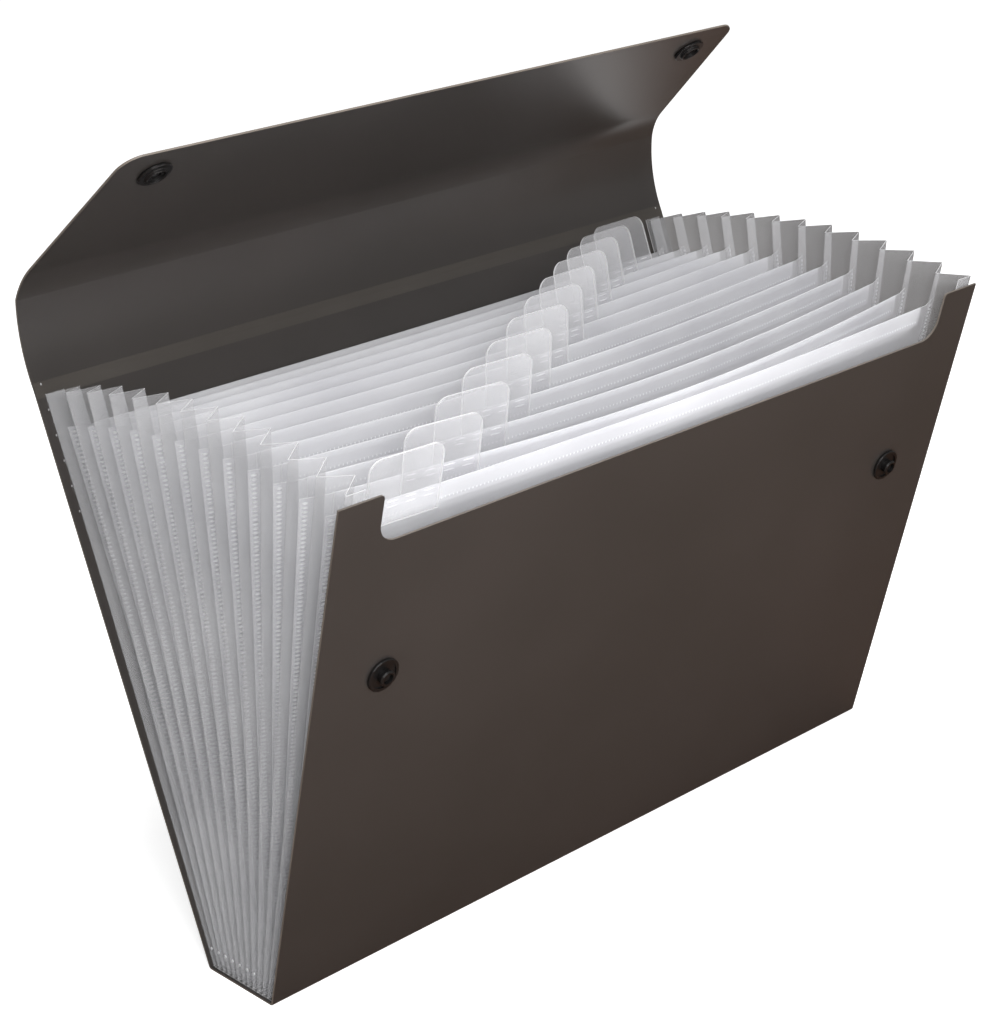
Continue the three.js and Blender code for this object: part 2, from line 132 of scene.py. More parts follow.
# Polypropylene film, cast with a matt finish: milky and translucent, so light comes through it
# and stacked films turn whiter, with faint clouding from uneven crystals.
def frostedFilm(name, values):
    material, tree, shader = newMaterial(name)
    output = next(node for node in tree.nodes if node.type == "OUTPUT_MATERIAL")
    place = addNode(tree, "ShaderNodeTexCoord").outputs["Object"]
    cloud = addNode(tree, "ShaderNodeTexNoise", None,
                    {"Scale": 1 / (values["cloud"] * mm), "Detail": 2.0}, {"Vector": place})
    ramp = addNode(tree, "ShaderNodeValToRGB", None, None, {"Fac": cloud.outputs["Fac"]})
    ramp.color_ramp.elements[0].position = 0.25
    ramp.color_ramp.elements[0].color = colour(values["dark"])
    ramp.color_ramp.elements[1].position = 0.75
    ramp.color_ramp.elements[1].color = colour(values["light"])
    tree.links.new(ramp.outputs["Color"], shader.inputs["Base Color"])
    veil = addNode(tree, "ShaderNodeMapRange", None,
                   {"To Min": values["alphaLow"], "To Max": values["alphaHigh"]},
                   {"Value": cloud.outputs["Fac"]})
    through = addNode(tree, "ShaderNodeBsdfTranslucent", None, None, {"Color": ramp.outputs["Color"]})
    milky = addNode(tree, "ShaderNodeMixShader", None, {0: values["through"]},
                    {1: shader.outputs["BSDF"], 2: through.outputs["BSDF"]})
    clear = addNode(tree, "ShaderNodeBsdfTransparent")
    film = addNode(tree, "ShaderNodeMixShader", None, None,
                   {0: veil.outputs["Result"], 1: clear.outputs["BSDF"], 2: milky.outputs["Shader"]})
    tree.links.new(film.outputs["Shader"], output.inputs["Surface"])
    grain = addNode(tree, "ShaderNodeTexNoise", None,
                    {"Scale": 1 / (values["grain"] * mm), "Detail": 1.0}, {"Vector": place})
    bump = addNode(tree, "ShaderNodeBump", None,
                   {"Strength": values["bump"], "Distance": 0.03 * mm}, {"Height": grain.outputs["Fac"]})
    tree.links.new(bump.outputs["Normal"], shader.inputs["Normal"])
    shader.inputs["Roughness"].default_value = values["rough"]
    shader.inputs["IOR"].default_value = 1.49
    return material


filmLook = {"dark": "#f0f0f3", "light": "#f8f8fa", "cloud": 45, "grain": 0.6, "bump": 0.008, "rough": 0.36,
            "through": 0.55}
coverCharcoal = satinSheet("Embossed charcoal polypropylene", {
    "dark": "#2e2b29", "light": "#34302e", "cloud": 120, "grain": 0.5, "bump": 0.2,
    "smooth": 0.26, "rough": 0.31, "gloss": 0.4})
# The scored back crease is painted lighter than the cover: a painted highlight along the crease
creaseHighlightCharcoal = satinSheet("Scored charcoal polypropylene", {
    "dark": "#37332f", "light": "#3d3935", "cloud": 60, "grain": 0.5, "bump": 0.1,
    "smooth": 0.3, "rough": 0.36, "gloss": 0.4})
# The die-cut edge of the sheet is bare and painted much lighter than the face: a painted highlight where the
# edge catches the light
edgeHighlightCharcoal = satinSheet("Die-cut edge of charcoal sheet", {
    "dark": "#5a534c", "light": "#686058", "cloud": 20, "grain": 0.4, "bump": 0.1,
    "smooth": 0.4, "rough": 0.5, "gloss": 0.5})
gussetFilm = frostedFilm("Frosted polypropylene bellows film", {
    **filmLook, "alphaLow": 0.14, "alphaHigh": 0.18})
dividerFilm = frostedFilm("Frosted polypropylene divider film", {
    **filmLook, "alphaLow": 0.34, "alphaHigh": 0.42})
# The sheared edge of the film is painted whiter and nearly opaque: a painted highlight along every film edge
edgeHighlightFilm = frostedFilm("Sheared edge of frosted film", {
    **filmLook, "dark": "#fafafb", "light": "#fdfdfe", "alphaLow": 0.9, "alphaHigh": 0.95})
# Ultrasonic weld: film melted under a knurled tool, whiter than the film around it
weldMark = frostedFilm("Ultrasonic weld in film", {
    **filmLook, "dark": "#f8f8fa", "light": "#fdfdfe", "rough": 0.28, "alphaLow": 0.5, "alphaHigh": 0.6})
# Rigid sleeve plastic, calendered smooth: slightly milky, with bright sheared edges
clearSleeve = frostedFilm("Clear sleeve plastic", {
    **filmLook, "dark": "#f0f0f3", "light": "#f6f6f8", "bump": 0.03, "rough": 0.16,
    "alphaLow": 0.22, "alphaHigh": 0.28})
# Press stud: moulded acetal, black and slightly glossy, with a fine moulded texture
studBlack = satinSheet("Moulded black acetal", {
    "dark": "#100f0f", "light": "#151414", "cloud": 12, "grain": 0.35, "bump": 0.1,
    "smooth": 0.3, "rough": 0.4, "gloss": 0.3})
print("materials made")


# Meshes

def pieceFromMesh(name, mesh, materials):
    piece = bpy.data.objects.new(name, mesh)
    bpy.context.scene.collection.objects.link(piece)
    for material in materials:
        mesh.materials.append(material)
    return piece


def bakeModifiers(piece, smoothAngle=35):
    graph = bpy.context.evaluated_depsgraph_get()
    mesh = bpy.data.meshes.new_from_object(piece.evaluated_get(graph))
    piece.modifiers.clear()
    old = piece.data
    piece.data = mesh
    bpy.data.meshes.remove(old)
    mesh.shade_smooth()
    mesh.set_sharp_from_angle(angle=math.radians(smoothAngle))


def addThickness(piece, thickness, rimMaterial=0):
    solidify = piece.modifiers.new("Thickness", "SOLIDIFY")
    solidify.thickness = thickness * mm
    solidify.offset = 0
    solidify.use_even_offset = True
    solidify.material_offset_rim = rimMaterial


# A sheet through rows of points in millimetres, one row for each level
def rowsMesh(name, rows):
    columns = len(rows[0])
    vertices = [(x * mm, y * mm, z * mm) for row in rows for x, y, z in row]
    faces = []
    for level in range(len(rows) - 1):
        for column in range(columns - 1):
            low = level * columns + column
            faces.append((low, low + 1, low + 1 + columns, low + columns))
    mesh = bpy.data.meshes.new(name)
    mesh.from_pydata(vertices, [], faces)
    return mesh


def mix(a, b, t):
    return a + (b - a) * t


def upDirection(lean):
    return Vector((math.sin(math.radians(lean)), math.cos(math.radians(lean))))


# The cover and flap are one flat pattern, folded along a line in the YZ plane.
# The line is a list of (distance, y, z), measured along the sheet from the front panel's top.

def curlingLine(start, startLean, endLean, length, steps):
    points = [start.copy()]
    for i in range(steps):
        lean = mix(startLean, endLean, (i + 0.5) / steps)
        points.append(points[-1] + upDirection(lean) * length / steps)
    return points


def roundedCorner(before, corner, after, radius, steps=6):
    into = (corner - before).normalized()
    out = (after - corner).normalized()
    turn = into.angle(out)
    reach = radius * math.tan(turn / 2)
    start = corner - into * reach
    end = corner + out * reach
    points = []
    for i in range(steps + 1):
        t = i / steps
        points.append(start * (1 - t) ** 2 + corner * 2 * t * (1 - t) + end * t ** 2)
    return points


def coverLine():
    c = coverSizes
    frontCrease = Vector((-c["spine"] / 2, c["thickness"] / 2))
    backCrease = Vector((c["spine"] / 2, c["thickness"] / 2))
    frontTop = frontCrease + upDirection(-c["frontLean"]) * c["frontHeight"]
    backTop = backCrease + upDirection(c["backLean"]) * c["backHeight"]
    line = [frontTop]
    line += roundedCorner(frontTop, frontCrease, backCrease, c["creaseRadius"])
    line += roundedCorner(frontCrease, backCrease, backTop, c["creaseRadius"])
    line.append(backTop)
    return line


def flapLine(backTop):
    f = flapSizes
    start = backTop + upDirection(coverSizes["backLean"]) * f["creaseGap"]
    top = curlingLine(start, f["topStartLean"], f["topEndLean"], f["topLength"], 16)
    crease = (f["topEndLean"] + f["frontStartLean"]) / 2
    bendStart = top[-1] + upDirection(crease) * f["creaseGap"]
    bend = curlingLine(bendStart, f["frontStartLean"], f["frontLean"], f["bendLength"], 12)
    tip = bend[-1] + upDirection(f["frontLean"]) * f["frontLength"]
    return top, bend, tip


def measured(points, start=0.0):
    distances = [start]
    for before, after in zip(points, points[1:]):
        distances.append(distances[-1] + (after - before).length)
    return [(d, p.x, p.y) for d, p in zip(distances, points)]


coverPoints = coverLine()
topPoints, bendPoints, tipPoint = flapLine(coverPoints[-1])
wholeLine = measured(coverPoints + topPoints + bendPoints + [tipPoint])
creaseOne = wholeLine[len(coverPoints) - 1][0] + flapSizes["creaseGap"] / 2
creaseTwo = wholeLine[len(coverPoints) + len(topPoints) - 1][0] + flapSizes["creaseGap"] / 2
tipDistance = wholeLine[-1][0]


def placeOnLine(distance):
    for (d0, y0, z0), (d1, y1, z1) in zip(wholeLine, wholeLine[1:]):
        if distance <= d1:
            t = (distance - d0) / (d1 - d0)
            return mix(y0, y1, t), mix(z0, z1, t)
    return wholeLine[-1][1:]


def arc(cx, cy, radius, start, end, steps=8):
    points = []
    for i in range(steps + 1):
        angle = math.radians(mix(start, end, i / steps))
        points.append((cx + radius * math.cos(angle), cy + radius * math.sin(angle)))
    return points


# A flat outline in x and distance is cut along every fold, then put on the folding line
def foldedSheet(name, outline, sheetThickness, materials, cuts=()):
    bm = bmesh.new()
    bm.faces.new([bm.verts.new((x, d, 0)) for x, d in outline])
    low = min(d for x, d in outline)
    high = max(d for x, d in outline)
    levels = [d for d, y, z in wholeLine] + list(cuts)
    for level in sorted(set(levels)):
        if low + 0.01 < level < high - 0.01:
            everything = bm.verts[:] + bm.edges[:] + bm.faces[:]
            bmesh.ops.bisect_plane(bm, geom=everything, dist=0.0001,
                                   plane_co=(0, level, 0), plane_no=(0, 1, 0))
    for vertex in bm.verts:
        y, z = placeOnLine(vertex.co.y)
        vertex.co = (vertex.co.x * mm, y * mm, z * mm)
    bmesh.ops.recalc_face_normals(bm, faces=bm.faces)
    mesh = bpy.data.meshes.new(name)
    bm.to_mesh(mesh)
    bm.free()
    piece = pieceFromMesh(name, mesh, materials)
    addThickness(piece, sheetThickness, len(materials) - 1)
    bakeModifiers(piece)
    return piece


def coverOutline(end):
    c = coverSizes
    half = c["width"] / 2
    inner = half - c["ear"]
    radius, ear = c["cutRadius"], c["earRadius"]
    right = [(half, 0), (inner + ear, 0)]
    right += arc(inner + ear, ear, ear, 270, 180, 4)[1:]
    right += arc(inner - radius, c["cutDepth"] - radius, radius, 0, 90)
    left = [(-x, d) for x, d in reversed(right)]
    return right + left + [(-half, end), (half, end)]


def flapOutline(start):
    f = flapSizes
    half = coverSizes["width"] / 2
    tipHalf = half - f["tipInset"]
    taper = math.degrees(math.atan2(f["tipInset"], tipDistance - creaseTwo))
    reach = f["cornerRadius"] * math.tan(math.radians((90 - taper) / 2))
    corner = arc(tipHalf - reach, tipDistance - f["cornerRadius"], f["cornerRadius"], taper, 90, 10)
    right = [(half, start), (half, creaseTwo)] + corner
    return right + [(-x, d) for x, d in reversed(right)]


seam = flapSizes["seam"]
half = coverSizes["width"] / 2
thickness = coverSizes["thickness"]
coverSheet = foldedSheet("cover_sheet", coverOutline(creaseOne - seam), thickness,
                         [coverCharcoal, edgeHighlightCharcoal])
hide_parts("cover")
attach(coverSheet, "root")

stripOutline = [(half, creaseOne - seam), (half, creaseOne + seam),
                (-half, creaseOne + seam), (-half, creaseOne - seam)]
stripCuts = [creaseOne + step * flapSizes["cutPitch"] for step in range(-5, 6)]
backCrease = foldedSheet("back_crease", stripOutline, thickness * flapSizes["scoreThinning"],
                         [creaseHighlightCharcoal], stripCuts)

flapCuts = [creaseTwo + step * flapSizes["cutPitch"] for step in range(-8, 9)]
flapSheet = foldedSheet("flap_sheet", flapOutline(creaseOne + seam), thickness,
                        [coverCharcoal, edgeHighlightCharcoal], flapCuts)
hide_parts("flap_top", "flap_front")


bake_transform(backCrease)
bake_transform(flapSheet)
print("cover and flap folded")


# Bellows: a fold's place runs from 0 at the front panel to 1 at the back panel

dividerCount = filmSizes["pockets"] - 1
floorZ = coverSizes["thickness"] + filmSizes["weldGap"]
outerFoldX = half - filmSizes["inset"]
pleatSeat = coverSizes["thickness"] / 2 + filmSizes["weldGap"] + filmSizes["film"] / 2
dividerSeat = (filmSizes["film"] + dividerSizes["thickness"]) / 2 + filmSizes["weldGap"]
hemSeat = dividerSizes["thickness"] + dividerSizes["hemGap"]
frontTan = math.tan(math.radians(coverSizes["frontLean"]))
backTan = math.tan(math.radians(coverSizes["backLean"]))
creaseZ = coverSizes["thickness"] / 2
frontSeatY = (-coverSizes["spine"] / 2 - (floorZ - creaseZ) * frontTan
              + pleatSeat / math.cos(math.radians(coverSizes["frontLean"])) + filmSizes["foldWidth"] / 2)
backSeatY = (coverSizes["spine"] / 2 + (floorZ - creaseZ) * backTan
             - pleatSeat / math.cos(math.radians(coverSizes["backLean"])) - filmSizes["foldWidth"] / 2)


# Low down, where the folds are pressed flat together, they come out nearly to the cover's edge
def outerEdgeX(z):
    return outerFoldX + filmSizes["baseReach"] * max(0, 1 - z / filmSizes["baseReachTop"])


def foldLean(place):
    return math.radians(mix(-coverSizes["frontLean"], coverSizes["backLean"], place))


def foldY(place, z):
    return mix(frontSeatY, backSeatY, place) + (z - floorZ) * math.tan(foldLean(place))


def outerFold(pleat):
    return pleat / dividerCount


def innerFold(pleat):
    return (pleat + filmSizes["innerShare"]) / dividerCount


def innerFoldX(z):
    pitch = foldY(outerFold(1), z) - foldY(outerFold(0), z)
    return outerFoldX - math.sqrt(filmSizes["pleatWidth"] ** 2 - (pitch / 2) ** 2)


def gussetRows(side, levels=16):
    f = filmSizes
    rows = []
    for level in range(levels + 1):
        share = (level / levels) ** 1.4
        row = []

        def add(place, x, shift):
            z = floorZ + share * f["gussetHeight"] * math.cos(foldLean(place))
            row.append((side * x(z), foldY(place, z) + shift * f["foldWidth"] / 2, z))

        add(0, lambda z: outerEdgeX(z) - f["flange"], -1)
        for pleat in range(dividerCount + 1):
            add(outerFold(pleat), lambda z: outerEdgeX(z) - f["foldRound"], -1)
            add(outerFold(pleat), outerEdgeX, -0.45)
            add(outerFold(pleat), outerEdgeX, 0.45)
            add(outerFold(pleat), lambda z: outerEdgeX(z) - f["foldRound"], 1)
            if pleat < dividerCount:
                add(innerFold(pleat), lambda z: innerFoldX(z) + f["foldRound"], -1)
                add(innerFold(pleat), innerFoldX, -0.45)
                add(innerFold(pleat), innerFoldX, 0.45)
                add(innerFold(pleat), lambda z: innerFoldX(z) + f["foldRound"], 1)
        add(1, lambda z: outerEdgeX(z) - f["flange"], 1)
        rows.append(row)
    return rows


def makeGusset(name, node, side):
    mesh = rowsMesh(name, gussetRows(side))
    if side < 0:
        mesh.flip_normals()
    piece = pieceFromMesh(name, mesh, [gussetFilm, edgeHighlightFilm])
    addThickness(piece, filmSizes["film"], 1)
    bakeModifiers(piece, 50)
    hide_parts(node)
    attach(piece, "root")


# Under each gusset a film flange is welded flat on the spine, out to near the cover's edge
spineFlange = {"inner": 146, "toEdge": 1.2, "thickness": 0.18, "inset": 1.6}


def makeSpineFlange(name, side):
    depth = coverSizes["spine"] / 2 - spineFlange["inset"]
    level = thickness + filmSizes["weldGap"] / 2
    edges = sorted((side * spineFlange["inner"], side * (half - spineFlange["toEdge"])))
    rows = [[(x, y, level) for x in edges] for y in (-depth, depth)]
    piece = pieceFromMesh(name, rowsMesh(name, rows), [gussetFilm, edgeHighlightFilm])
    addThickness(piece, spineFlange["thickness"], 1)
    bakeModifiers(piece)
    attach(piece, "root")


makeGusset("bellows_right", "right_gusset", 1)
makeGusset("bellows_left", "left_gusset", -1)
makeSpineFlange("spine_flange_right", 1)
makeSpineFlange("spine_flange_left", -1)
print("bellows pleated")


# Dividers

def dividerTopZ(pleat):
    return floorZ + dividerSizes["height"] * math.cos(foldLean(innerFold(pleat)))


def heightToZ(pleat, s):
    return floorZ + s * math.cos(foldLean(innerFold(pleat)))


def dividerSag(pleat):
    d = dividerSizes
    if pleat > 0:
        return mix(d["frontSlack"], d["backSlack"], pleat / (dividerCount - 1))
    z = dividerTopZ(0)
    panelFace = (-coverSizes["spine"] / 2 - (z - creaseZ) * frontTan
                 + coverSizes["thickness"] / 2 / math.cos(math.radians(coverSizes["frontLean"])))
    return foldY(innerFold(0), z) + filmSizes["foldWidth"] / 2 + dividerSeat - panelFace - d["frontRest"]


# The knee at the inner fold, and a point on the margin at a distance from the outer fold
def dividerSide(pleat, z, toFold=dividerSizes["edgeToFold"], seat=dividerSeat):
    inner = Vector((innerFoldX(z), foldY(innerFold(pleat), z) + filmSizes["foldWidth"] / 2))
    outer = Vector((outerFoldX, foldY(outerFold(pleat + 1), z) - filmSizes["foldWidth"] / 2))
    along = (outer - inner).normalized()
    behind = Vector((-along.y, along.x))
    return inner + behind * seat, outer - along * toFold + behind * seat, along


def dividerY(pleat, x, z):
    knee = dividerSide(pleat, z)[0]
    sag = dividerSag(pleat) * (z - floorZ) / (dividerTopZ(pleat) - floorZ)
    return knee.y - sag * math.cos(x / knee.x * math.pi / 2)


spanSteps = 40
dividerLevels = 14


def dividerRow(pleat, s):
    z = heightToZ(pleat, s)
    knee, edge, along = dividerSide(pleat, z)
    margin = [edge, (edge + knee) / 2]
    row = [(-p.x, p.y, z) for p in margin]
    for i in range(spanSteps + 1):
        x = mix(-knee.x, knee.x, i / spanSteps)
        row.append((x, dividerY(pleat, x, z), z))
    return row + [(p.x, p.y, z) for p in reversed(margin)]


def hemRow(pleat, s, forward):
    z = heightToZ(pleat, s)
    end = innerFoldX(dividerTopZ(pleat)) - dividerSizes["hemEndInset"]
    row = []
    for i in range(spanSteps + 1):
        x = mix(-end, end, i / spanSteps)
        row.append((x, dividerY(pleat, x, z) - forward, z))
    return row


# The folded hem: round over the top, then down in front as a second layer
def hemMesh(name, pleat):
    height = dividerSizes["height"]
    radius = hemSeat / 2
    rows = []
    for angle in (0, 45, 90, 135, 180):
        turn = math.radians(angle)
        rows.append(hemRow(pleat, height - radius + radius * math.sin(turn),
                           radius - radius * math.cos(turn)))
    rows += [hemRow(pleat, height - drop, hemSeat) for drop in (2.5, 5, dividerSizes["hemHeight"])]
    return rowsMesh(name, rows)


def makeDivider(pleat):
    number = f"{pleat + 1:02d}"
    d = dividerSizes
    top = d["height"] - hemSeat / 2
    rows = [dividerRow(pleat, mix(d["start"], top, level / dividerLevels))
            for level in range(dividerLevels + 1)]
    sheet = pieceFromMesh(f"divider_sheet_{number}", rowsMesh("sheet", rows), [dividerFilm, edgeHighlightFilm])
    addThickness(sheet, d["thickness"], 1)
    bakeModifiers(sheet)
    hem = pieceFromMesh(f"hem_{number}", hemMesh("hem", pleat), [dividerFilm, edgeHighlightFilm])
    addThickness(hem, d["thickness"], 1)
    bakeModifiers(hem, 60)
    for piece in (sheet, hem):
        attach(piece, "root")
    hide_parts(f"divider_{number}")


for pleat in range(dividerCount):
    makeDivider(pleat)
print("dividers hung")


# Index tabs

def tabX(pleat):
    return (pleat - (dividerCount - 1) / 2) * tabSizes["pitch"]


def tabFrame(pleat, forward):
    x = tabX(pleat)
    z = dividerTopZ(pleat)
    along = Vector((2, dividerY(pleat, x + 1, z) - dividerY(pleat, x - 1, z), 0))
    up = Vector((0, dividerY(pleat, x, z) - dividerY(pleat, x, z - 1), 1))
    front = along.cross(up).normalized()
    along.normalize()
    sheetUp = front.cross(along)
    foot = Vector((x, dividerY(pleat, x, z), z)) + front * forward
    return Matrix((along, sheetUp, front)).transposed(), foot


def makeTab(pleat):
    t = tabSizes
    name = f"tab_{pleat + 1:02d}"
    wide = t["width"] / 2
    outline = [(-wide, -t["below"]), (wide, -t["below"])]
    outline += arc(wide - t["radius"], t["above"] - t["radius"], t["radius"], 0, 90)
    outline += arc(-wide + t["radius"], t["above"] - t["radius"], t["radius"], 90, 180)
    turn, foot = tabFrame(pleat, hemSeat + dividerSizes["thickness"] / 2 + t["seatGap"] + t["thickness"] / 2)
    bm = bmesh.new()
    bm.faces.new([bm.verts.new((foot + turn @ Vector((x, y, 0))) * mm) for x, y in outline])
    mesh = bpy.data.meshes.new(name)
    bm.to_mesh(mesh)
    bm.free()
    piece = pieceFromMesh(name, mesh, [clearSleeve, edgeHighlightFilm])
    addThickness(piece, t["thickness"], 1)
    bakeModifiers(piece)
    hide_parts(f"index_tab_{pleat + 1:02d}")
    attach(piece, "root")


for pleat in range(dividerCount):
    makeTab(pleat)
print("tabs fitted")

for side in ("left", "right"):
    for part in ("stud", "stud_cap", "socket", "socket_cap"):
        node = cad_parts[f"{part}_{side}"]
        node.data.materials.clear()
        node.data.materials.append(studBlack)


# Repeated marks: small rounded blobs at an even pitch along paths, turned by the path's own axes

def marksTree():
    tree = bpy.data.node_groups.new("marksAlongPaths", "GeometryNodeTree")
    face = tree.interface
    face.new_socket("Geometry", in_out="INPUT", socket_type="NodeSocketGeometry")
    face.new_socket("Pitch", in_out="INPUT", socket_type="NodeSocketFloat")
    face.new_socket("Mark size", in_out="INPUT", socket_type="NodeSocketVector")
    face.new_socket("Material", in_out="INPUT", socket_type="NodeSocketMaterial")
    face.new_socket("Geometry", in_out="OUTPUT", socket_type="NodeSocketGeometry")
    given = addNode(tree, "NodeGroupInput")
    curve = addNode(tree, "GeometryNodeMeshToCurve", None, None, {"Mesh": given.outputs["Geometry"]})
    points = addNode(tree, "GeometryNodeResampleCurve", {"mode": "LENGTH"}, None,
                     {"Curve": curve.outputs["Curve"], "Length": given.outputs["Pitch"]})
    across = addNode(tree, "GeometryNodeInputNamedAttribute", {"data_type": "FLOAT_VECTOR"},
                     {"Name": "across"})
    up = addNode(tree, "GeometryNodeInputNamedAttribute", {"data_type": "FLOAT_VECTOR"}, {"Name": "up"})
    turned = addNode(tree, "FunctionNodeAlignRotationToVector", {"axis": "X"}, None,
                     {"Vector": across.outputs["Attribute"]})
    upright = addNode(tree, "FunctionNodeAlignRotationToVector", {"axis": "Z", "pivot_axis": "X"}, None,
                      {"Rotation": turned.outputs["Rotation"], "Vector": up.outputs["Attribute"]})
    mark = addNode(tree, "GeometryNodeMeshIcoSphere", None, {"Radius": 0.5, "Subdivisions": 1})
    placed = addNode(tree, "GeometryNodeInstanceOnPoints", None, None,
                     {"Points": points.outputs["Curve"], "Instance": mark.outputs["Mesh"],
                      "Rotation": upright.outputs["Rotation"], "Scale": given.outputs["Mark size"]})
    real = addNode(tree, "GeometryNodeRealizeInstances", None, None,
                   {"Geometry": placed.outputs["Instances"]})
    painted = addNode(tree, "GeometryNodeSetMaterial", None, None,
                      {"Geometry": real.outputs["Geometry"], "Material": given.outputs["Material"]})
    addNode(tree, "NodeGroupOutput", None, None, {"Geometry": painted.outputs["Geometry"]})
    return tree


marksAlong = marksTree()


def repeatedMarks(name, paths, pitch, size, material):
    vertices, edges, across, up = [], [], [], []
    for path in paths:
        for i, (point, acrossAxis, upAxis) in enumerate(path):
            if i:
                edges.append((len(vertices) - 1, len(vertices)))
            vertices.append(Vector(point) * mm)
            across.append(Vector(acrossAxis))
            up.append(Vector(upAxis))
    mesh = bpy.data.meshes.new(name)
    mesh.from_pydata(vertices, edges, [])
    for key, values in (("across", across), ("up", up)):
        attribute = mesh.attributes.new(key, "FLOAT_VECTOR", "POINT")
        for i, value in enumerate(values):
            attribute.data[i].vector = value
    piece = pieceFromMesh(name, mesh, [])
    modifier = piece.modifiers.new("Marks", "NODES")
    modifier.node_group = marksAlong
    values = {"Pitch": pitch * mm, "Mark size": tuple(v * mm for v in size), "Material": material}
    for item in marksAlong.interface.items_tree:
        if item.in_out == "INPUT" and item.name in values:
            modifier[item.identifier] = values[item.name]
    bakeModifiers(piece, 50)
    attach(piece, "root")


# The ladder of weld marks down each divider's margin joins it to its gusset panel
ladder = {"pitch": 1.65, "width": 2.4, "height": 1.0, "proud": 0.3, "fromFold": 6.1, "start": 9, "top": 207}


def ladderPath(pleat, side):
    path = []
    for level in range(13):
        s = mix(ladder["start"], ladder["top"], level / 12)
        z = heightToZ(pleat, s)
        point, along = dividerSide(pleat, z, ladder["fromFold"], dividerSeat / 2)[1:]
        path.append(((side * point.x, point.y, z), (side * along.x, along.y, 0), (0, 0, 1)))
    return path


ladderDepth = filmSizes["film"] + filmSizes["weldGap"] + dividerSizes["thickness"] + ladder["proud"]
ladderPaths = [ladderPath(pleat, side) for pleat in range(dividerCount) for side in (-1, 1)]
repeatedMarks("weld_ladders", ladderPaths, ladder["pitch"], (ladder["width"], ladderDepth, ladder["height"]),
              weldMark)

# The dotted weld along each hem
hemDots = {"pitch": 1.7, "width": 0.9, "height": 1.5, "proud": 0.3, "above": 1.8, "endInset": 2}


def hemPath(pleat, s, forward):
    reach = innerFoldX(dividerTopZ(pleat)) - dividerSizes["hemEndInset"] - hemDots["endInset"]
    z = heightToZ(pleat, s)
    path = []
    for i in range(31):
        x = mix(-reach, reach, i / 30)
        slope = dividerY(pleat, x + 1, z) - dividerY(pleat, x - 1, z)
        path.append(((x, dividerY(pleat, x, z) - forward, z), (2, slope, 0), (0, 0, 1)))
    return path


hemLevel = dividerSizes["height"] - dividerSizes["hemHeight"] + hemDots["above"]
repeatedMarks("hem_welds", [hemPath(pleat, hemLevel, hemSeat / 2) for pleat in range(dividerCount)],
              hemDots["pitch"],
              (hemDots["width"], hemSeat + dividerSizes["thickness"] + hemDots["proud"], hemDots["height"]),
              weldMark)

# Two rows of short slits in the top edge under each tab hold its sleeve
slits = {"rows": (0.9, 3.0), "pitch": 7.6, "size": (6.5, 0.7), "proud": 0.5}


def slitPath(pleat, below):
    x = tabX(pleat)
    reach = slits["pitch"] * 1.5
    z = heightToZ(pleat, dividerSizes["height"] - below)
    path = []
    for i in range(4):
        at = x - reach + i * slits["pitch"]
        slope = dividerY(pleat, at + 1, z) - dividerY(pleat, at - 1, z)
        path.append(((at, dividerY(pleat, at, z) - hemSeat / 2, z), (2, slope, 0), (0, 0, 1)))
    return path


slitDepth = hemSeat + dividerSizes["thickness"] + slits["proud"]
# The slits are drawn in the whiter edge film: a painted highlight on their cut edges
repeatedMarks("tab_slits", [slitPath(pleat, row) for pleat in range(dividerCount) for row in slits["rows"]],
              slits["pitch"] * 0.999, (slits["size"][0], slitDepth, slits["size"][1]), edgeHighlightFilm)

# Spot welds: a short row low on each gusset, and specks where the rear flange is welded on
spotWelds = {
    "fromBase": 8.5, "basePitch": 4.4, "baseSize": (1.0, 0.8, 1.5), "startPlace": 0.95, "endPlace": 0.3,
    "edgeInset": 3.3, "edgePitch": 9, "edgeSize": (0.7, 0.5, 1.0), "edgeLow": 170, "edgeHigh": 216,
}


def baseWeldPath(side):
    z = spotWelds["fromBase"]
    ends = (spotWelds["startPlace"], spotWelds["endPlace"])
    return [((side * (outerEdgeX(z) + 0.1), foldY(place, z), z), (0, 1, 0), (0, 0, 1)) for place in ends]


def edgeWeldPath(side):
    lean = math.radians(coverSizes["backLean"])
    x = side * (half - spotWelds["edgeInset"])
    path = []
    for z in (spotWelds["edgeLow"], spotWelds["edgeHigh"]):
        y = coverSizes["spine"] / 2 + (z - creaseZ) * backTan - thickness / 2 / math.cos(lean)
        path.append(((x, y, z), (1, 0, 0), (0, math.sin(lean), math.cos(lean))))
    return path


repeatedMarks("base_welds", [baseWeldPath(-1), baseWeldPath(1)], spotWelds["basePitch"],
              spotWelds["baseSize"], weldMark)
repeatedMarks("flange_welds", [edgeWeldPath(-1), edgeWeldPath(1)], spotWelds["edgePitch"],
              spotWelds["edgeSize"], weldMark)
print("weld marks pressed")


# Light, floor and camera

view = {
    "azimuth": 43.13, "elevation": 21.65, "roll": -2.58, "distance": 968.97, "targetHeight": 120,
    "right": 10.17, "up": 9.57, "focal": 2440.07, "centreX": 572.59, "centreY": 535.94,
    "imageWidth": 996, "imageHeight": 1024,
}


